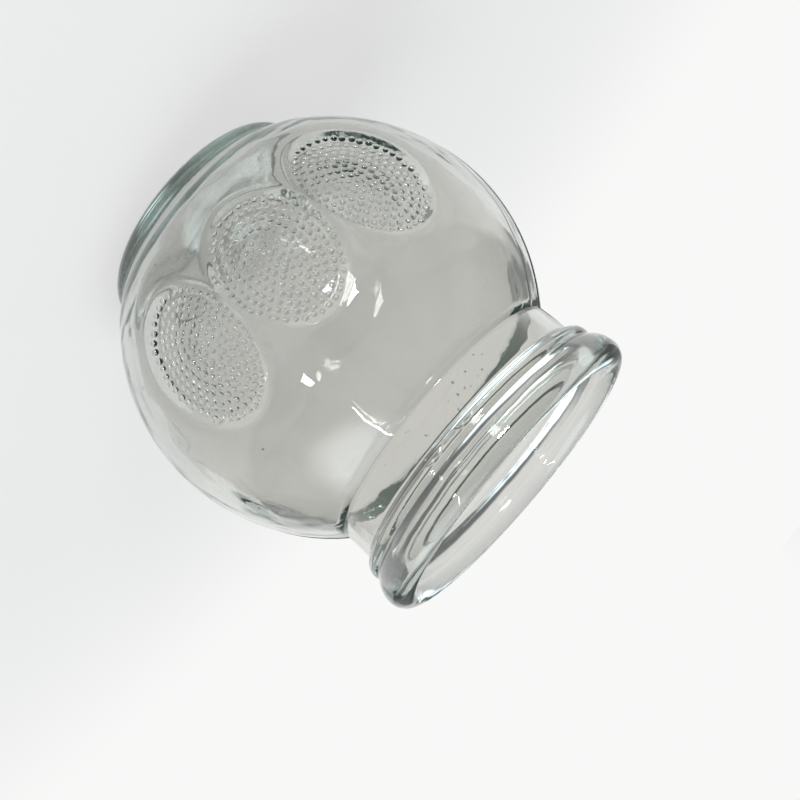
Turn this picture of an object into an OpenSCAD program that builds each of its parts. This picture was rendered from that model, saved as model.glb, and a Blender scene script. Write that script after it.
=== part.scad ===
// Cupping glass: one moulded piece of clear glass, standing on its heel with the mouth up.
// Its section is drawn in radius and height and turned about the upright axis.
// The oval grips are then pressed side by side into one side of the bowl.

/* [Bowl] */
// Outer diameter of the round bowl
bowl_d = 80; // [76:0.5:86]
// Height of the widest part of the bowl above the table
bowl_z = 36; // [35:0.25:38]
// Thickness of the bowl's wall
wall_t = 3.4; // [2.6:0.1:4.2]

/* [Heel] */
// Outer diameter of the heel that the cup stands on
heel_d = 48.4; // [46:0.2:52]
// Rounding of the heel's lower edge
heel_r = 4.3; // [3:0.1:5]
// Thickness of the glass in the middle of the base
base_t = 6.2; // [4.6:0.2:8]
// Rounding inside, between the floor and the bowl
floor_r = 11.95; // [8:0.05:15]
// Diameter of the shallow hollow under the base
kick_d = 28; // [20:1:32]
// Depth of the shallow hollow under the base
kick_h = 0.8; // [0.4:0.1:1.5]

/* [Neck] */
// Diameter of the bore through the neck
bore_d = 50.8; // [46:0.2:54]
// Thickness of the glass where the neck leaves the bowl
neck_t = 2.3; // [1.8:0.1:3]
// Thickness of the neck's glass under the shoulder ring
neck_top_t = 2.8; // [2:0.1:3.6]
// Rounding inside, between the bowl and the bore
throat_r = 4; // [2:0.5:6]

/* [Mouth] */
// Height of the neck and the mouth above the bowl
mouth_h = 17.85; // [16.5:0.05:20]
// Thickness of the glass at the mouth bead, which ends in a full-round lip
lip_t = 6.3; // [5.4:0.1:7.2]
// Radius of the mouth bead's outer flank, below the lip
flank_r = 5.5; // [5:0.1:6.5]
// Thickness of the glass at the shoulder ring below the mouth bead
shoulder_t = 4.6; // [3.8:0.1:5.4]
// Radius of the shoulder ring's round
shoulder_r = 2; // [1.6:0.1:2.4]
// Depth of the shoulder ring's middle below the lip
shoulder_drop = 8.7; // [8.2:0.1:9.4]

/* [Grips] */
// Grips side by side on the bowl
grip_count = 3; // [1:1:4]
// Angle from one grip to the next
grip_step = 33; // [33:0.5:40]
// Angle of the grips below the widest part of the bowl
grip_lat = 6.5; // [0:0.5:10]
// Width of a grip, measured around the bowl
grip_w = 21.8; // [18:0.2:22]
// Height of a grip, measured along the bowl
grip_h = 28; // [25:0.5:30]
// Depth of a grip's floor below the bowl's surface
grip_depth = 1.6; // [1:0.1:1.8]

/* [Hidden] */
$fn = 96;
bowl_r = bowl_d / 2;
hollow_r = bowl_r - wall_t;
heel_x = heel_d / 2 - heel_r;
kick_r = (pow(kick_d / 2, 2) + pow(kick_h, 2)) / (2 * kick_h);
bore_r = bore_d / 2;
neck_r = bore_r + neck_t;
mouth_r = bore_r + lip_t;
// The neck starts where a circle of its radius lies on the bowl
neck_z = bowl_z + sqrt(pow(bowl_r, 2) - pow(neck_r, 2));
cup_h = neck_z + mouth_h;
shoulder_z = cup_h - shoulder_drop;
lip_r = lip_t / 2;
lip_z = cup_h - lip_r;
// Centres of the two inner roundings, measured from the middle of the bowl
throat_x = bore_r + throat_r;
throat_z = sqrt(pow(hollow_r + throat_r, 2) - pow(throat_x, 2));
floor_z = base_t + floor_r - bowl_z;
floor_x = sqrt(pow(hollow_r - floor_r, 2) - pow(floor_z, 2));
// A grip is pressed by the edge of a ring, which would sink this deep if the grip had no floor
grip_sink = 3.1 * grip_depth;
press_h = grip_sink - bowl_r + sqrt(pow(bowl_r, 2) - pow(grip_h / 2, 2));
press_w = grip_sink - bowl_r + sqrt(pow(bowl_r, 2) - pow(grip_w / 2, 2));
// Radius of the ring's outer edge, and of the round of its section
ring_r = (pow(grip_h / 2, 2) + pow(press_h, 2)) / (2 * press_h);
ring_edge_r = (pow(grip_w / 2, 2) + pow(press_w, 2)) / (2 * press_w);
// Thickness of the ring, which leaves its inner side clear of the bowl
ring_t = 2 * grip_sink;
// The cut for a grip starts this far outside the bowl
grip_clear = 0.5;

// Outer section of the bowl, cut flat where it meets the table
module bowl_section() {
    intersection() {
        translate([0, bowl_z]) circle(bowl_r);
        square([bowl_r, cup_h]);
    }
}

// Section of the heel: a flat foot with a quarter-round edge, a little fuller than the bowl
module heel_section() {
    square([heel_x, heel_r]);
    translate([heel_x, 0]) intersection() {
        translate([0, heel_r]) circle(heel_r);
        square(heel_r);
    }
}

// Solid section of the neck, which opens a little towards the shoulder ring
module neck_section() {
    polygon([
        [0, bowl_z],
        [neck_r, bowl_z],
        [neck_r, neck_z],
        [bore_r + neck_top_t, shoulder_z],
        [bore_r + neck_top_t, lip_z],
        [0, lip_z],
    ]);
}

// Section of the shoulder ring below the mouth bead
module shoulder_section() {
    translate([bore_r + shoulder_t - shoulder_r, shoulder_z]) circle(shoulder_r);
}

// Section of the mouth bead: a swelling flank below the lip's widest circle, a full round above it
module mouth_section() {
    flank_h = lip_z - shoulder_z;
    translate([0, lip_z]) {
        intersection() {
            translate([mouth_r - flank_r, 0]) circle(flank_r);
            translate([0, -flank_h]) square([mouth_r, flank_h]);
        }
        intersection() {
            translate([bore_r + lip_r, 0]) circle(lip_r);
            translate([bore_r, 0]) square([2 * lip_r, lip_r]);
        }
    }
}

// Section of the hollow: a round chamber with a flat, rounded floor and a rounded throat
module hollow_section() {
    bore_h = lip_z - bowl_z;
    translate([0, lip_z - bore_h]) square([bore_r, bore_h]);
    translate([0, bowl_z]) {
        // Chamber above the line from its middle through the floor rounding's centre
        intersection() {
            circle(hollow_r);
            polygon([
                [0, 0],
                2 * [floor_x, floor_z],
                [bowl_d, bowl_d],
                [0, bowl_d],
            ]);
        }
        // Floor and its rounding
        translate([0, floor_z - floor_r]) square([floor_x, floor_r - floor_z]);
        translate([floor_x, floor_z]) circle(floor_r);
        // Rounded throat between the chamber and the bore
        difference() {
            polygon([[0, 0], [throat_x, throat_z], [0, throat_z]]);
            translate([throat_x, throat_z]) circle(throat_r);
        }
    }
}

// Glass without its grips, turned from the sections
module turned_cup() {
    rotate_extrude() difference() {
        union() {
            bowl_section();
            heel_section();
            neck_section();
            shoulder_section();
            mouth_section();
        }
        hollow_section();
        translate([0, kick_h - kick_r]) circle(kick_r);
    }
}

// Section of the ring that presses a grip: a round edge outside, flat towards the ring's middle
module ring_section() {
    intersection() {
        translate([ring_r - ring_edge_r, 0]) circle(ring_edge_r);
        translate([ring_r - ring_t, -ring_edge_r]) square(2 * ring_edge_r);
    }
}

// One grip: the edge of an upright ring pressed into the bowl as far as the grip's floor
module grip_scoop() {
    difference() {
        intersection() {
            translate([0, -bowl_r + grip_sink - ring_r, 0])
                rotate([0, 90, 0])
                    rotate_extrude() ring_section();
            sphere(bowl_r + grip_clear);
        }
        sphere(bowl_r - grip_depth);
    }
}

// The whole cup, with a group of grips on one side of the bowl
module cup() {
    color("#c9d6d2", 0.5) difference() {
        turned_cup();
        for (i = [0 : grip_count - 1])
            translate([0, 0, bowl_z])
                rotate([0, 0, (i - (grip_count - 1) / 2) * grip_step])
                    rotate([grip_lat, 0, 0])
                        grip_scoop();
    }
}

cup();
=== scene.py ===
"""Cupping glass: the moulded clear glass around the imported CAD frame, on a plain pale floor."""

import math
import random

import bmesh
import bpy
from mathutils import Matrix, Vector, noise
from mathutils.geometry import intersect_line_sphere_2d, intersect_sphere_sphere_2d


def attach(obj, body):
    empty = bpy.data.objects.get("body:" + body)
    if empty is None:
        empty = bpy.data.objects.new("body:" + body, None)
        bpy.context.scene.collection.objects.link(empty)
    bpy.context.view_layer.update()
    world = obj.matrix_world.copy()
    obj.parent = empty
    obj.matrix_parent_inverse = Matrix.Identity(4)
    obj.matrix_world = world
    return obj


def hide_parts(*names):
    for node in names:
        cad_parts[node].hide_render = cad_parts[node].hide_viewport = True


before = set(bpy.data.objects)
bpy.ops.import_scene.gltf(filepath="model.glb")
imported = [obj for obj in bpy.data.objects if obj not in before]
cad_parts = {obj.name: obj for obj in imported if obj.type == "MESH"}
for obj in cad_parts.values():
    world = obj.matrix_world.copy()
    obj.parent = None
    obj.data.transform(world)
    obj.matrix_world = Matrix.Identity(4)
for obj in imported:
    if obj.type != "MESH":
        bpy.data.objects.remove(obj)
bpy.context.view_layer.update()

MM = 0.001

# Driving sizes of the cup's section, in millimetres
BOWL_R = 40
BOWL_Z = 36
WALL_T = 3.4
HEEL_R = 24.2
HEEL_ROUND = 4.3
KICK_R = 14
KICK_H = 0.8
BASE_T = 6.2
FLOOR_ROUND = 11.95
BORE_R = 25.4
THROAT_ROUND = 4
NECK_T = 2.3
NECK_TOP_T = 2.8
MOUTH_H = 17.85
SHOULDER_T = 4.6
SHOULDER_ROUND = 2
SHOULDER_DROP = 8.7
LIP_T = 6.3
FLANK_ROUND = 5.5
TURN_STEPS = 216

# Width of the rounding at each of the section's creases, in millimetres
HEEL_CREASE_W = 0.5
NECK_CREASE_W = 0.2
RING_CREASE_W = 0.4
GROOVE_CREASE_W = 0.3
CREASE_STEPS = 3

# Within these distances points are merged, or count as on a ring, the chamber or the seam, in millimetres
MERGE_DIST = 0.001
RING_FIND = 0.01
CHAMBER_FIND = 0.05
SEAM_FIND = 0.02

# A point counts as on the bowl's outer surface within this depth of it and this far from the creases
SKIN_T = 0.3
CREASE_CLEAR = 1

# Grips, in millimetres and degrees. Their walls start and end, and the mesh around them is refined,
# at shares of the oval's edge
GRIP_STEP = 33
GRIP_LAT = 6.5
GRIP_W = 21.6
GRIP_H = 28
GRIP_DEPTH = 1.7
GRIP_WALL = (0.87, 1.09)
GRIP_REACH = 1.3

# The blown inner surface follows the grips: start and end of the bulge's slope, as shares of the oval's edge
BULGE_WALL = (0.75, 1.6)

# It also wavers: heights where the waves rise and fall away, their lengths and their height, in millimetres
WAVE_RISE = (9.5, 16)
WAVE_FALL = (54, 61)
LONG_WAVE = 13
SHORT_WAVE = 6
SHORT_WAVE_SHARE = 0.5
SHORT_WAVE_SHIFT = Vector((7, 3, 5))
WAVE_H = 0.22

# Beads on the grips, in millimetres, in oval rows
BEAD_R = 0.64
BEAD_SINK = 0.15
BEAD_ROW = 1.52
BEAD_GAP = 1.64
BEAD_EDGE = 0.6
BEAD_STRAY = 0.17
BEAD_SCALE = (0.86, 1.08)
BEAD_DRAW = 11
LAST_ROW_SHARE = 0.45
ROW_STEPS = 720

# Seam of the two mould halves: bearing from -Y towards +X in degrees, ridge and reach in millimetres
SEAM_TURN = 100
SEAM_HALF_W = 0.3
SEAM_RISE = 0.16
SEAM_LOW = 6
SEAM_HIGH = 71
SEAM_FADE_LOW = 6
SEAM_FADE_HIGH = 4
SEAM_NECK_CLEAR = 0.5

# Ring left on the bowl by the mould's base plate, in millimetres
PLATE_LINE_Z = 8.2
PLATE_LINE_HALF_W = 0.45
PLATE_LINE_RISE = 0.12

# Lap fold on the shoulder ring: bearings of its ends and slope on the ring in degrees, sizes in millimetres
FOLD_START = -4
FOLD_END = 21
FOLD_SLOPE = -18
FOLD_R = 0.32
FOLD_TIP_SHARE = 0.35
FOLD_STEPS = 40
# Its slow sway and its fine ripple: height, and turns in radians from end to end
FOLD_SWAY = 0.6
FOLD_SWAY_TURN = 9
FOLD_SWAY_START = 0.6
FOLD_RIPPLE = 0.22
FOLD_RIPPLE_TURN = 31

# Seed bubbles in the wall: bearings in degrees, sizes in millimetres
BOWL_SEEDS = 34
BOWL_SEED_RISE = (-38, 40)
BOWL_SEED_OUT = (37.6, 39.2)
NECK_SEEDS = 14
NECK_SEED_TURN = (-50, 30)
NECK_SEED_OUT = (26.3, 27)
NECK_SEED_Z = (66, 71)
SEED_R = (0.08, 0.2)
SEED_STRETCH = (1.0, 1.8)
SEED_DRAW = 5

# The finished mesh is drawn in this much, so that its facets' corners stay inside the CAD box
DRAW_IN = 0.9996
SHARP_ANGLE = 50

# Glass: the two tints of its surface, and how its depth colours and dims the light
GLASS_TINTS = ((0.78, 0.767, 0.74, 1), (0.84, 0.828, 0.805, 1))
DEPTH_COLOUR = (0.665, 0.745, 0.72, 1)
DEPTH_DENSITY = 46.0

# Share of the fine chill marks in the ripple, and roughness of smudges and of scratches under the foot
CHILL_SHARE = 0.03
SMUDGE_ROUGH = 0.07
SCRATCH_ROUGH = 0.5

# Studio floor: its two tones, its reach in metres, and how it runs out into the pale air: the distances
# at which the haze starts and ends to thicken, and its share near the cup
STAGE_TONES = ((0.89, 0.89, 0.885, 1), (0.91, 0.91, 0.905, 1))
STAGE_R = 40
STAGE_STEPS = 96
HAZE_START = 0.08
HAZE_END = 0.3
HAZE_NEAR = 0.6

# Tone of the far floor and of the air at the horizon, and of the air from there up: open, or behind dark
# flags, whose edges lie between two levels of a noise
PALE = (0.94, 0.94, 0.935)
OPEN_AIR = ((0.0, PALE), (0.1, PALE), (0.17, (0.42, 0.42, 0.42)), (1.0, (0.26, 0.265, 0.27)))
FLAGGED_AIR = ((0.0, PALE), (0.1, PALE), (0.17, (0.12, 0.125, 0.125)), (1.0, (0.16, 0.165, 0.17)))
FLAG_EDGE = (0.4, 0.6)

# Soft windows: bearing, angles at which the window starts and ends to fade, and its light
WINDOWS = (
    ((95, 56), (8, 30), (2.5, 2.65, 2.75, 1)),
    ((-167, 21), (3, 11), (3.0, 3.5, 3.75, 1)),
)

# Bearings of two grey cards behind the cup, the angles at which they start and end to fade, and their tone
CARDS = (136, -148)
CARD_EDGE = (8, 24)
CARD_TONE = (0.28, 0.285, 0.285, 1)

# Softboxes: name, bearings of the two ends, distance and width in metres, and brightness
SOFTBOXES = (
    ("strip_softbox", (40, 47), (76, 70), 0.85, 0.012, 35.0),
    ("key_softbox", (36, 18), (36, 25), 0.9, 0.05, 40.0),
    ("front_softbox", (-14, 0), (-14, 12), 0.9, 0.16, 50.0),
)

# Light runs far inside the glass before it comes out
LIGHT_BOUNCES = 128
GLASS_BOUNCES = 112

# Camera: place in metres, bearing round the cup, tilt below the horizon and roll, so that the mouth lies low
CAMERA_SPOT = (0.02354, -0.2917, 0.12682)
CAMERA_TURN = 4.2
CAMERA_TILT = 13.74
CAMERA_ROLL = 130.37
CAMERA_LENS = 72
CAMERA_SENSOR = 36


def outermost(spots):
    """Of the points where two strokes of the section cross, the one farthest from the upright axis."""
    return max((spot for spot in spots if spot is not None), key=lambda spot: spot.x)


# Points of the section, as radius and height in millimetres: bowl, hollow under the base, and heel
BOWL_CENTRE = Vector((0, BOWL_Z))
CHAMBER_R = BOWL_R - WALL_T
KICK_TOP = Vector((0, KICK_H))
KICK_EDGE = Vector((KICK_R, 0))
KICK_CENTRE = Vector((0, (KICK_H ** 2 - KICK_R ** 2) / (2 * KICK_H)))
FOOT_EDGE = Vector((HEEL_R - HEEL_ROUND, 0))
HEEL_CENTRE = FOOT_EDGE + Vector((0, HEEL_ROUND))
HEEL_TOP = outermost(intersect_sphere_sphere_2d(HEEL_CENTRE, HEEL_ROUND, BOWL_CENTRE, BOWL_R))

# Neck, shoulder ring, and the mouth's flank and lip
NECK_R = BORE_R + NECK_T
NECK_CREASE = Vector((NECK_R, BOWL_Z + math.sqrt(BOWL_R ** 2 - NECK_R ** 2)))
CUP_H = NECK_CREASE.y + MOUTH_H
SHOULDER_CENTRE = Vector((BORE_R + SHOULDER_T - SHOULDER_ROUND, CUP_H - SHOULDER_DROP))
NECK_END = Vector((BORE_R + NECK_TOP_T, SHOULDER_CENTRE.y))
NECK_TOP = outermost(intersect_line_sphere_2d(NECK_CREASE, NECK_END, SHOULDER_CENTRE, SHOULDER_ROUND))
LIP_ROUND = LIP_T / 2
LIP_CENTRE = Vector((BORE_R + LIP_ROUND, CUP_H - LIP_ROUND))
LIP_OUTER = LIP_CENTRE + Vector((LIP_ROUND, 0))
LIP_INNER = LIP_CENTRE - Vector((LIP_ROUND, 0))
FLANK_CENTRE = LIP_OUTER - Vector((FLANK_ROUND, 0))
SHOULDER_GROOVE = outermost(
    intersect_sphere_sphere_2d(SHOULDER_CENTRE, SHOULDER_ROUND, FLANK_CENTRE, FLANK_ROUND)
)

# Throat, chamber and floor inside
THROAT_R = BORE_R + THROAT_ROUND
THROAT_RISE = math.sqrt((CHAMBER_R + THROAT_ROUND) ** 2 - THROAT_R ** 2)
THROAT_CENTRE = Vector((THROAT_R, BOWL_Z + THROAT_RISE))
THROAT_END = BOWL_CENTRE + (THROAT_CENTRE - BOWL_CENTRE).normalized() * CHAMBER_R
BORE_END = THROAT_CENTRE - Vector((THROAT_ROUND, 0))
FLOOR_RISE = BASE_T + FLOOR_ROUND - BOWL_Z
FLOOR_R = math.sqrt((CHAMBER_R - FLOOR_ROUND) ** 2 - FLOOR_RISE ** 2)
FLOOR_CENTRE = Vector((FLOOR_R, BOWL_Z + FLOOR_RISE))
CHAMBER_END = BOWL_CENTRE + (FLOOR_CENTRE - BOWL_CENTRE).normalized() * CHAMBER_R
FLOOR_EDGE = FLOOR_CENTRE - Vector((0, FLOOR_ROUND))
FLOOR_MIDDLE = Vector((0, BASE_T))

CREASES = (
    (HEEL_TOP, HEEL_CREASE_W),
    (NECK_CREASE, NECK_CREASE_W),
    (NECK_TOP, RING_CREASE_W),
    (SHOULDER_GROOVE, GROOVE_CREASE_W),
)


def place(spot):
    """A point of the section, in metres, in the plane that is turned about the upright axis."""
    return Vector((spot.x * MM, 0, spot.y * MM))


def bearing(azimuth, elevation):
    """Unit vector from the cup, by the bearing round from -Y and the height above the floor, in degrees."""
    a = math.radians(azimuth)
    e = math.radians(elevation)
    return Vector((math.sin(a) * math.cos(e), -math.cos(a) * math.cos(e), math.sin(e)))


def smooth_step(low, high, value):
    """0 below low, 1 above high and a soft rise between."""
    t = min(max((value - low) / (high - low), 0), 1)
    return t * t * (3 - 2 * t)


class Pen:
    """Draws the section as one chain of edges, each stroke from where the last one ended."""

    def __init__(self, bm, start):
        self.bm = bm
        self.tip = bm.verts.new(place(start))

    def line(self, end, steps):
        start = self.tip.co.copy()
        for i in range(steps):
            self.tip = bmesh.ops.extrude_vert_indiv(self.bm, verts=[self.tip])["verts"][0]
            self.tip.co = start.lerp(place(end), (i + 1) / steps)

    def arc(self, centre, end, steps, clockwise=False):
        middle = place(centre)
        first = self.tip.co - middle
        last = place(end) - middle
        turn = math.atan2(last.z, last.x) - math.atan2(first.z, first.x)
        turn = -(-turn % math.tau) if clockwise else turn % math.tau
        made = bmesh.ops.spin(
            self.bm,
            geom=[self.tip],
            cent=middle,
            axis=(0, -1, 0),
            angle=turn,
            steps=steps,
        )
        self.tip = made["geom_last"][0]


def turned_cup():
    """The cup without its grips: the whole section, inside and out, turned once about the upright axis."""
    bm = bmesh.new()
    pen = Pen(bm, KICK_TOP)
    pen.arc(KICK_CENTRE, KICK_EDGE, steps=7, clockwise=True)
    pen.line(FOOT_EDGE, steps=4)
    pen.arc(HEEL_CENTRE, HEEL_TOP, steps=9)
    pen.arc(BOWL_CENTRE, NECK_CREASE, steps=76)
    pen.line(NECK_TOP, steps=8)
    pen.arc(SHOULDER_CENTRE, SHOULDER_GROOVE, steps=9)
    pen.arc(FLANK_CENTRE, LIP_OUTER, steps=7)
    pen.arc(LIP_CENTRE, LIP_INNER, steps=14)
    pen.line(BORE_END, steps=12)
    pen.arc(THROAT_CENTRE, THROAT_END, steps=5)
    pen.arc(BOWL_CENTRE, CHAMBER_END, steps=40, clockwise=True)
    pen.arc(FLOOR_CENTRE, FLOOR_EDGE, steps=8, clockwise=True)
    pen.line(FLOOR_MIDDLE, steps=10)
    bmesh.ops.spin(
        bm,
        geom=bm.verts[:] + bm.edges[:],
        cent=(0, 0, 0),
        axis=(0, 0, 1),
        angle=math.tau,
        steps=TURN_STEPS,
        use_merge=True,
    )
    bmesh.ops.remove_doubles(bm, verts=bm.verts[:], dist=MERGE_DIST * MM)
    bmesh.ops.recalc_face_normals(bm, faces=bm.faces[:])
    return bm


def on_ring(v, spot):
    """True for a vertex on the ring that a point of the section is turned into."""
    return math.hypot(v.co.xy.length - spot.x * MM, v.co.z - spot.y * MM) < RING_FIND * MM


def round_creases(bm):
    """Rounds the rings where the heel, bowl, neck and shoulder ring meet, as fire does."""
    for spot, width in CREASES:
        bmesh.ops.bevel(
            bm,
            geom=[edge for edge in bm.edges if all(on_ring(v, spot) for v in edge.verts)],
            offset=width * MM,
            offset_type="OFFSET",
            segments=CREASE_STEPS,
            profile=0.5,
            affect="EDGES",
            material=-1,
        )


def grip_frames():
    """Each grip's axes, as unit vectors: outwards, around the bowl and up along it."""
    tilt = Matrix.Rotation(math.radians(GRIP_LAT), 3, "X")
    frames = []
    for i in (-1, 0, 1):
        turn = Matrix.Rotation(math.radians(i * GRIP_STEP), 3, "Z") @ tilt
        frames.append((turn @ Vector((0, -1, 0)), turn @ Vector((1, 0, 0)), turn @ Vector((0, 0, 1))))
    return frames


GRIPS = grip_frames()
BOWL_MIDDLE = place(BOWL_CENTRE)


def grip_share(grip, arm):
    """How far a point of the bowl lies from a grip's middle, as a share of the oval's edge."""
    out, around, up = grip
    if arm.dot(out) < 0:
        return math.inf
    return math.hypot(arm.dot(around) / (GRIP_W * MM / 2), arm.dot(up) / (GRIP_H * MM / 2))


def grip_dip(arm, wall=GRIP_WALL):
    """Depth, in metres, that the grips press into the bowl at a point. Neighbours blend softly."""
    left = 1
    for grip in GRIPS:
        left *= smooth_step(*wall, grip_share(grip, arm))
    return GRIP_DEPTH * MM * (1 - left)


def shape_chamber(bm):
    """Lets the blown inner surface follow the grips softly and waver a little, as no blown wall is even."""
    for v in bm.verts:
        arm = v.co - BOWL_MIDDLE
        z = v.co.z / MM
        if abs(arm.length - CHAMBER_R * MM) < CHAMBER_FIND * MM and z < THROAT_END.y:
            fade = smooth_step(*WAVE_RISE, z) * (1 - smooth_step(*WAVE_FALL, z))
            long_wave = noise.noise(v.co / (LONG_WAVE * MM))
            short_wave = noise.noise(v.co / (SHORT_WAVE * MM) + SHORT_WAVE_SHIFT)
            wave = fade * (long_wave + SHORT_WAVE_SHARE * short_wave) * WAVE_H * MM
            bulge = grip_dip(arm.normalized() * BOWL_R * MM, BULGE_WALL)
            v.co = BOWL_MIDDLE + arm.normalized() * (arm.length + wave - bulge)


def on_bowl(co):
    """True for a point of the bowl's outer surface between the heel and the neck."""
    low = HEEL_TOP.y + CREASE_CLEAR
    high = NECK_CREASE.y - CREASE_CLEAR
    return (co - BOWL_MIDDLE).length > (BOWL_R - SKIN_T) * MM and low < co.z / MM < high


def press_grips(bm):
    """Refines the bowl around the grips and presses them in."""
    near = [
        face
        for face in bm.faces
        if all(on_bowl(v.co) for v in face.verts)
        and any(grip_share(g, face.calc_center_median() - BOWL_MIDDLE) < GRIP_REACH for g in GRIPS)
    ]
    edges = list({edge for face in near for edge in face.edges})
    bmesh.ops.subdivide_edges(bm, edges=edges, cuts=1, use_grid_fill=True)
    for v in bm.verts:
        if on_bowl(v.co):
            arm = (v.co - BOWL_MIDDLE).normalized()
            v.co = BOWL_MIDDLE + arm * (BOWL_R * MM - grip_dip(arm * BOWL_R * MM))


def raise_mould_lines(bm):
    """Raises the seam of the mould halves and the ring of the base plate as fine ridges on the outside."""
    side = bearing(SEAM_TURN + 90, 0)
    for offset in (-SEAM_HALF_W, 0, SEAM_HALF_W):
        bmesh.ops.bisect_plane(
            bm,
            geom=bm.verts[:] + bm.edges[:] + bm.faces[:],
            dist=MERGE_DIST * MM,
            plane_co=side * offset * MM,
            plane_no=side,
        )
    for v in bm.verts:
        z = v.co.z / MM
        if on_bowl(v.co) and abs(z - PLATE_LINE_Z) < PLATE_LINE_HALF_W:
            v.co += (v.co - BOWL_MIDDLE).normalized() * PLATE_LINE_RISE * MM
        outside = v.co.xy.length > (NECK_R - SEAM_NECK_CLEAR) * MM and v.normal.xy.dot(v.co.xy) > 0
        if outside and abs(v.co.dot(side)) < SEAM_FIND * MM and SEAM_LOW < z < SEAM_HIGH:
            rise = smooth_step(SEAM_LOW, SEAM_LOW + SEAM_FADE_LOW, z)
            fall = 1 - smooth_step(SEAM_HIGH - SEAM_FADE_HIGH, SEAM_HIGH, z)
            v.co += v.normal * SEAM_RISE * rise * fall * MM


def oval_length(half_w, half_h):
    """Length round an oval, by a close formula."""
    return math.pi * (3 * (half_w + half_h) - math.sqrt((3 * half_w + half_h) * (half_w + 3 * half_h)))


def bead_spots():
    """Middles of a grip's beads, in millimetres around and up, on oval rows inside the edge."""
    spots = []
    half_w = GRIP_W / 2 - BEAD_EDGE
    half_h = GRIP_H / 2 - BEAD_EDGE
    row = 0
    while half_w > BEAD_ROW * LAST_ROW_SHARE:
        length = oval_length(half_w, half_h)
        count = round(length / BEAD_GAP)
        walk = 0
        last = (half_w, 0.0)
        made = 0
        for k in range(1, ROW_STEPS + 1):
            angle = math.tau * k / ROW_STEPS
            spot = (half_w * math.cos(angle), half_h * math.sin(angle))
            walk += math.dist(last, spot)
            last = spot
            if walk >= length * (made + 0.5 * (row % 2)) / count and made < count:
                spots.append(spot)
                made += 1
        half_w -= BEAD_ROW
        half_h -= BEAD_ROW
        row += 1
    fill = round(2 * half_h / BEAD_GAP)
    for k in range(fill + 1):
        spots.append((0, half_h * (2 * k / fill - 1)))
    return spots


def grip_beads():
    """All beads of the three grips, as small balls half sunk in the grips' floors and walls."""
    rng = random.Random(BEAD_DRAW)
    ball = bmesh.new()
    bmesh.ops.create_uvsphere(ball, u_segments=9, v_segments=6, radius=BEAD_R * MM)
    pattern = bpy.data.meshes.new("bead")
    ball.to_mesh(pattern)
    ball.free()
    bm = bmesh.new()
    for out, around, up in GRIPS:
        for x, y in bead_spots():
            x += rng.uniform(-BEAD_STRAY, BEAD_STRAY)
            y += rng.uniform(-BEAD_STRAY, BEAD_STRAY)
            height = math.sqrt(BOWL_R ** 2 - x * x - y * y)
            arm = (out * height + around * x + up * y).normalized()
            reach = BOWL_R * MM - grip_dip(arm * BOWL_R * MM) - BEAD_SINK * MM
            spot = Matrix.Translation(BOWL_MIDDLE + arm * reach)
            turn = arm.to_track_quat("Z", "Y").to_matrix().to_4x4()
            bead = pattern.copy()
            bead.transform(spot @ turn @ Matrix.Scale(rng.uniform(*BEAD_SCALE), 4))
            bm.from_mesh(bead)
            bpy.data.meshes.remove(bead)
    bpy.data.meshes.remove(pattern)
    return bm


def lap_fold():
    """A thin wavy fold in the skin of the shoulder ring, as a thread half sunk in the ring."""
    curve = bpy.data.curves.new("lap_fold", "CURVE")
    curve.dimensions = "3D"
    curve.bevel_depth = FOLD_R * MM
    curve.bevel_resolution = 1
    curve.use_fill_caps = True
    path = curve.splines.new("POLY")
    path.points.add(FOLD_STEPS)
    for i, point in enumerate(path.points):
        t = i / FOLD_STEPS
        bow = math.sin(math.pi * t)
        sway = FOLD_SWAY * math.sin(FOLD_SWAY_TURN * t + FOLD_SWAY_START) * bow
        ripple = FOLD_RIPPLE * math.sin(FOLD_RIPPLE_TURN * t)
        slope = math.radians(FOLD_SLOPE) + (sway + ripple) / SHOULDER_ROUND
        radius = SHOULDER_CENTRE.x + SHOULDER_ROUND * math.cos(slope)
        height = SHOULDER_CENTRE.y + SHOULDER_ROUND * math.sin(slope)
        spot = bearing(FOLD_START + (FOLD_END - FOLD_START) * t, 0) * radius * MM
        point.co = (spot.x, spot.y, height * MM, 1)
        point.radius = FOLD_TIP_SHARE + (1 - FOLD_TIP_SHARE) * bow
    drawn = bpy.data.objects.new("lap_fold", curve)
    bpy.context.scene.collection.objects.link(drawn)
    ready = drawn.evaluated_get(bpy.context.evaluated_depsgraph_get())
    mesh = bpy.data.meshes.new_from_object(ready)
    bpy.data.objects.remove(drawn)
    bm = bmesh.new()
    bm.from_mesh(mesh)
    bpy.data.meshes.remove(mesh)
    bmesh.ops.remove_doubles(bm, verts=bm.verts[:], dist=MERGE_DIST * MM)
    bmesh.ops.recalc_face_normals(bm, faces=bm.faces[:])
    return bm


def seed_bubbles():
    """Small bubbles of air inside the wall of the bowl and of the neck."""
    rng = random.Random(SEED_DRAW)
    bm = bmesh.new()

    def bubble(spot):
        stretch = Matrix.Diagonal((1, 1, rng.uniform(*SEED_STRETCH), 1))
        bmesh.ops.create_uvsphere(
            bm,
            u_segments=8,
            v_segments=6,
            radius=rng.uniform(*SEED_R) * MM,
            matrix=Matrix.Translation(spot) @ stretch,
        )

    made = 0
    while made < BOWL_SEEDS:
        arm = bearing(rng.uniform(-180, 180), rng.uniform(*BOWL_SEED_RISE))
        if all(grip_share(grip, arm * BOWL_R * MM) > GRIP_REACH for grip in GRIPS):
            bubble(BOWL_MIDDLE + arm * rng.uniform(*BOWL_SEED_OUT) * MM)
            made += 1
    for _ in range(NECK_SEEDS):
        spot = bearing(rng.uniform(*NECK_SEED_TURN), 0) * rng.uniform(*NECK_SEED_OUT) * MM
        bubble(spot + Vector((0, 0, rng.uniform(*NECK_SEED_Z) * MM)))
    return bm


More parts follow.
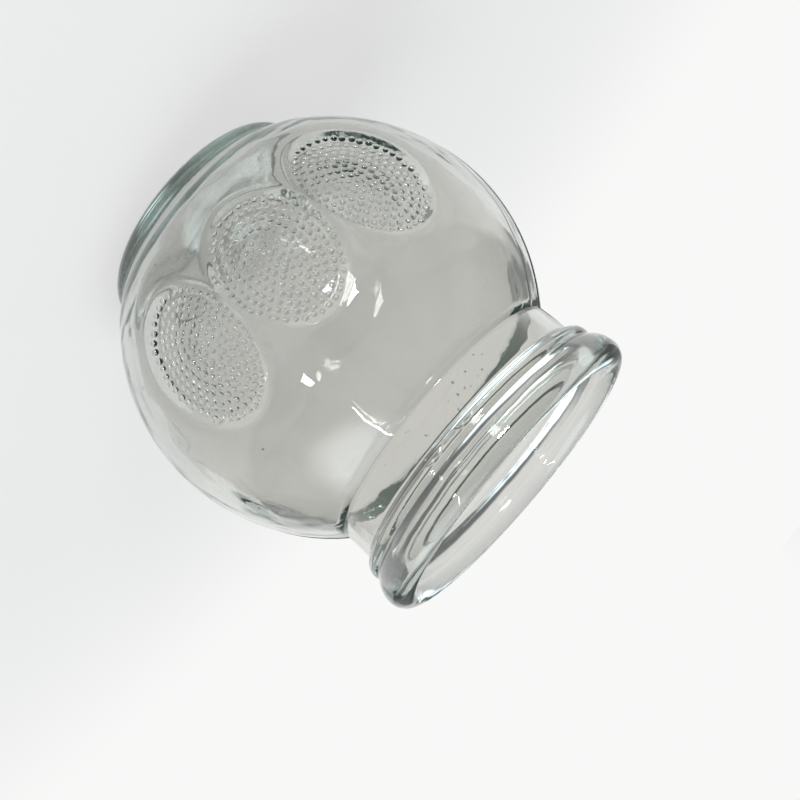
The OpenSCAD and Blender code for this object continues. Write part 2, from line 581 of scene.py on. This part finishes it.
def as_object(bm, name):
    """A bmesh as a new object at the origin."""
    mesh = bpy.data.meshes.new(name)
    bm.to_mesh(mesh)
    bm.free()
    made = bpy.data.objects.new(name, mesh)
    bpy.context.scene.collection.objects.link(made)
    return made


def joined_cup():
    """The cup with its beads and lap fold fused on and its bubbles taken out, as one closed mesh."""
    bm = turned_cup()
    round_creases(bm)
    shape_chamber(bm)
    press_grips(bm)
    bm.normal_update()
    raise_mould_lines(bm)
    cup = as_object(bm, "cup_glass")
    others = []
    for name, other, operation in (
        ("grip_beads", grip_beads(), "UNION"),
        ("lap_fold", lap_fold(), "UNION"),
        ("seed_bubbles", seed_bubbles(), "DIFFERENCE"),
    ):
        others.append(as_object(other, name))
        step = cup.modifiers.new(name, "BOOLEAN")
        step.operation = operation
        step.solver = "MANIFOLD"
        step.object = others[-1]
    ready = cup.evaluated_get(bpy.context.evaluated_depsgraph_get())
    fused = bpy.data.meshes.new_from_object(ready)
    cup.modifiers.clear()
    cup.data = fused
    fused.name = "cup_glass"
    for other in others:
        bpy.data.objects.remove(other)
    fused.transform(Matrix.Scale(DRAW_IN, 4))
    fused.materials.clear()
    for face in fused.polygons:
        face.use_smooth = True
        face.material_index = 0
    fused.set_sharp_from_angle(angle=math.radians(SHARP_ANGLE))
    return cup


class Wire:
    """A shader socket. Sums and products of wires add their own Math nodes."""

    def __init__(self, tree, socket=None):
        self.tree = tree
        self.socket = socket

    def node(self, kind, settings, sockets, out=0):
        """Adds a node: its settings first, then the values or wires of its sockets."""
        made = self.tree.nodes.new(kind)
        for key, value in settings.items():
            if key == "stops":
                ramp = made.color_ramp.elements
                while len(ramp) < len(value):
                    ramp.new(0.5)
                for stop, (spot, colour) in zip(ramp, value):
                    stop.position = spot
                    stop.color = (*colour, 1)
            else:
                setattr(made, key, value)
        for key, value in sockets.items():
            if isinstance(value, Wire):
                self.tree.links.new(value.socket, made.inputs[key])
            else:
                made.inputs[key].default_value = value
        return Wire(self.tree, made.outputs[out] if made.outputs else None)

    def math(self, operation, first, second):
        return self.node("ShaderNodeMath", {"operation": operation}, {0: first, 1: second})

    def blend(self, share, first, second):
        """The first colour, turning into the second as the share rises."""
        sockets = {"Factor": share, "A": first, "B": second}
        return self.node("ShaderNodeMix", {"data_type": "RGBA"}, sockets, "Result")

    def soft_rise(self, value, low, high):
        """0 below low, 1 above high and a soft rise between."""
        sockets = {"Value": value, "From Min": low, "From Max": high}
        return self.node("ShaderNodeMapRange", {"interpolation_type": "SMOOTHSTEP"}, sockets)

    def lobe(self, way, middle, edge):
        """1 near a middle direction, fading to 0 between the two angles of its edge."""
        near = self.node("ShaderNodeVectorMath", {"operation": "DOT_PRODUCT"}, {0: way, 1: middle}, "Value")
        start, end = edge
        return self.soft_rise(near, math.cos(math.radians(end)), math.cos(math.radians(start)))

    def __add__(self, other):
        return self.math("ADD", self, other)

    def __radd__(self, other):
        return self.math("ADD", other, self)

    def __mul__(self, other):
        return self.math("MULTIPLY", self, other)

    def __rmul__(self, other):
        return self.math("MULTIPLY", other, self)


def new_material(name):
    """An empty node material and a wire to start its nodes from."""
    made = bpy.data.materials.new(name)
    made.use_nodes = True
    made.node_tree.nodes.clear()
    return made, Wire(made.node_tree)


def clear_glass():
    """Clear, faintly green moulded glass with soft ripples, smudges and a scuffed foot."""
    made, start = new_material("clear_moulded_glass")
    spot = start.node("ShaderNodeTexCoord", {}, {}, "Object")
    ripple = start.node("ShaderNodeTexNoise", {}, {"Vector": spot, "Scale": 70.0, "Detail": 2.0})
    chill = start.node("ShaderNodeTexNoise", {}, {"Vector": spot, "Scale": 420.0, "Detail": 3.0})
    bump = start.node(
        "ShaderNodeBump",
        {},
        {"Strength": 0.3, "Distance": 0.0012, "Height": ripple + CHILL_SHARE * chill},
    )
    film = start.node("ShaderNodeTexNoise", {}, {"Vector": spot, "Scale": 55.0, "Detail": 6.0})
    smudge = start.node(
        "ShaderNodeMapRange",
        {},
        {"Value": film, "From Min": 0.5, "From Max": 0.75, "To Min": 0.0, "To Max": SMUDGE_ROUGH},
    )
    height = start.node("ShaderNodeSeparateXYZ", {}, {"Vector": spot}, "Z")
    foot = start.node(
        "ShaderNodeMapRange",
        {},
        {"Value": height, "From Min": 0.0002, "From Max": 0.0016, "To Min": 1.0, "To Max": 0.0},
    )
    scratch = start.node("ShaderNodeTexNoise", {}, {"Vector": spot, "Scale": 900.0, "Detail": 4.0})
    glass = start.node(
        "ShaderNodeBsdfPrincipled",
        {},
        {
            "Base Color": start.blend(film, *GLASS_TINTS),
            "Roughness": smudge + foot * scratch * SCRATCH_ROUGH,
            "IOR": 1.52,
            "Transmission Weight": 1.0,
            "Normal": bump,
        },
    )
    depth = start.node(
        "ShaderNodeVolumeAbsorption",
        {},
        {"Color": DEPTH_COLOUR, "Density": DEPTH_DENSITY},
    )
    start.node("ShaderNodeOutputMaterial", {}, {"Surface": glass, "Volume": depth})
    return made


def pale_floor():
    """A plain matt floor that keeps the cup's shadow and runs out into the pale air of the horizon."""
    made, start = new_material("pale_floor")
    spot = start.node("ShaderNodeTexCoord", {}, {}, "Object")
    grain = start.node("ShaderNodeTexNoise", {}, {"Vector": spot, "Scale": 9.0, "Detail": 3.0})
    tone = start.blend(grain, *STAGE_TONES)
    paint = start.node("ShaderNodeBsdfPrincipled", {}, {"Base Color": tone, "Roughness": 0.9})
    haze = start.node("ShaderNodeEmission", {}, {"Color": (*PALE, 1), "Strength": 1.0})
    away = start.node("ShaderNodeVectorMath", {"operation": "LENGTH"}, {0: spot}, "Value")
    far = start.soft_rise(away, HAZE_START, HAZE_END)
    seen = start.node("ShaderNodeLightPath", {}, {}, "Is Camera Ray")
    mirrored = start.node("ShaderNodeLightPath", {}, {}, "Is Glossy Ray")
    through = start.node("ShaderNodeLightPath", {}, {}, "Is Transmission Ray")
    shown = start.math("MAXIMUM", start.math("MAXIMUM", seen, mirrored), through)
    share = (HAZE_NEAR + (1 - HAZE_NEAR) * far) * shown
    both = start.node("ShaderNodeMixShader", {}, {0: share, 1: paint, 2: haze})
    start.node("ShaderNodeOutputMaterial", {}, {"Surface": both})
    return made


def studio_air():
    """Soft light from all round: pale at the horizon, darker overhead, with flags, cards and windows."""
    world = bpy.data.worlds.new("studio_air")
    bpy.context.scene.world = world
    world.use_nodes = True
    world.node_tree.nodes.clear()
    start = Wire(world.node_tree)
    way = start.node("ShaderNodeTexCoord", {}, {}, "Generated")
    rise = start.node("ShaderNodeSeparateXYZ", {}, {"Vector": way}, "Z")
    open_air = start.node("ShaderNodeValToRGB", {"stops": OPEN_AIR}, {"Fac": rise})
    flagged_air = start.node("ShaderNodeValToRGB", {"stops": FLAGGED_AIR}, {"Fac": rise})
    flat_way = start.node("ShaderNodeVectorMath", {"operation": "MULTIPLY"}, {0: way, 1: (1.0, 1.0, 0.0)})
    round_way = start.node("ShaderNodeVectorMath", {"operation": "NORMALIZE"}, {0: flat_way})
    patches = start.node("ShaderNodeTexNoise", {}, {"Vector": round_way, "Scale": 1.9, "Detail": 0.0})
    tone = start.blend(start.soft_rise(patches, *FLAG_EDGE), open_air, flagged_air)
    for azimuth in CARDS:
        tone = start.blend(start.lobe(round_way, bearing(azimuth, 0), CARD_EDGE), tone, CARD_TONE)
    for middle, edge, light in WINDOWS:
        tone = start.blend(start.lobe(way, bearing(*middle), edge), tone, light)
    air = start.node("ShaderNodeBackground", {}, {"Color": tone, "Strength": 1.0})
    start.node("ShaderNodeOutputWorld", {}, {"Surface": air})


def softbox(name, one_end, other_end, distance, width, brightness):
    """An even rectangular lamp that faces the cup and reaches from one bearing to another."""
    first = bearing(*one_end) * distance
    last = bearing(*other_end) * distance
    back = (first + last).normalized()
    along = (last - first).normalized()
    across = along.cross(back)
    lamp = bpy.data.lights.new(name, "AREA")
    lamp.shape = "RECTANGLE"
    lamp.size = width
    lamp.size_y = (last - first).length
    lamp.energy = brightness * math.pi * lamp.size * lamp.size_y
    made = bpy.data.objects.new(name, lamp)
    turn = Matrix((across, along, back)).transposed().to_4x4()
    made.matrix_world = Matrix.Translation(BOWL_MIDDLE + (first + last) / 2) @ turn
    bpy.context.scene.collection.objects.link(made)


def photo_view():
    """The camera, at the photograph's viewing angle."""
    view = bpy.data.cameras.new("photo_view")
    view.sensor_width = CAMERA_SENSOR
    view.lens = CAMERA_LENS
    view.clip_start = 0.01
    view.clip_end = 100
    camera = bpy.data.objects.new("photo_view", view)
    camera.matrix_world = (
        Matrix.Translation(CAMERA_SPOT)
        @ Matrix.Rotation(math.radians(CAMERA_TURN), 4, "Z")
        @ Matrix.Rotation(math.radians(90 - CAMERA_TILT), 4, "X")
        @ Matrix.Rotation(math.radians(CAMERA_ROLL), 4, "Z")
    )
    bpy.context.scene.collection.objects.link(camera)
    return camera


bpy.context.scene.camera = photo_view()
bpy.context.scene.view_settings.view_transform = "Standard"
bpy.context.scene.cycles.max_bounces = LIGHT_BOUNCES
bpy.context.scene.cycles.glossy_bounces = GLASS_BOUNCES
bpy.context.scene.cycles.transmission_bounces = GLASS_BOUNCES

cup = joined_cup()
cup.data.materials.append(clear_glass())
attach(cup, "root")
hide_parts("cup")

floor_bm = bmesh.new()
bmesh.ops.create_circle(floor_bm, cap_ends=True, segments=STAGE_STEPS, radius=STAGE_R)
floor = as_object(floor_bm, "floor")
floor.data.materials.append(pale_floor())

studio_air()
for lamp_values in SOFTBOXES:
    softbox(*lamp_values)
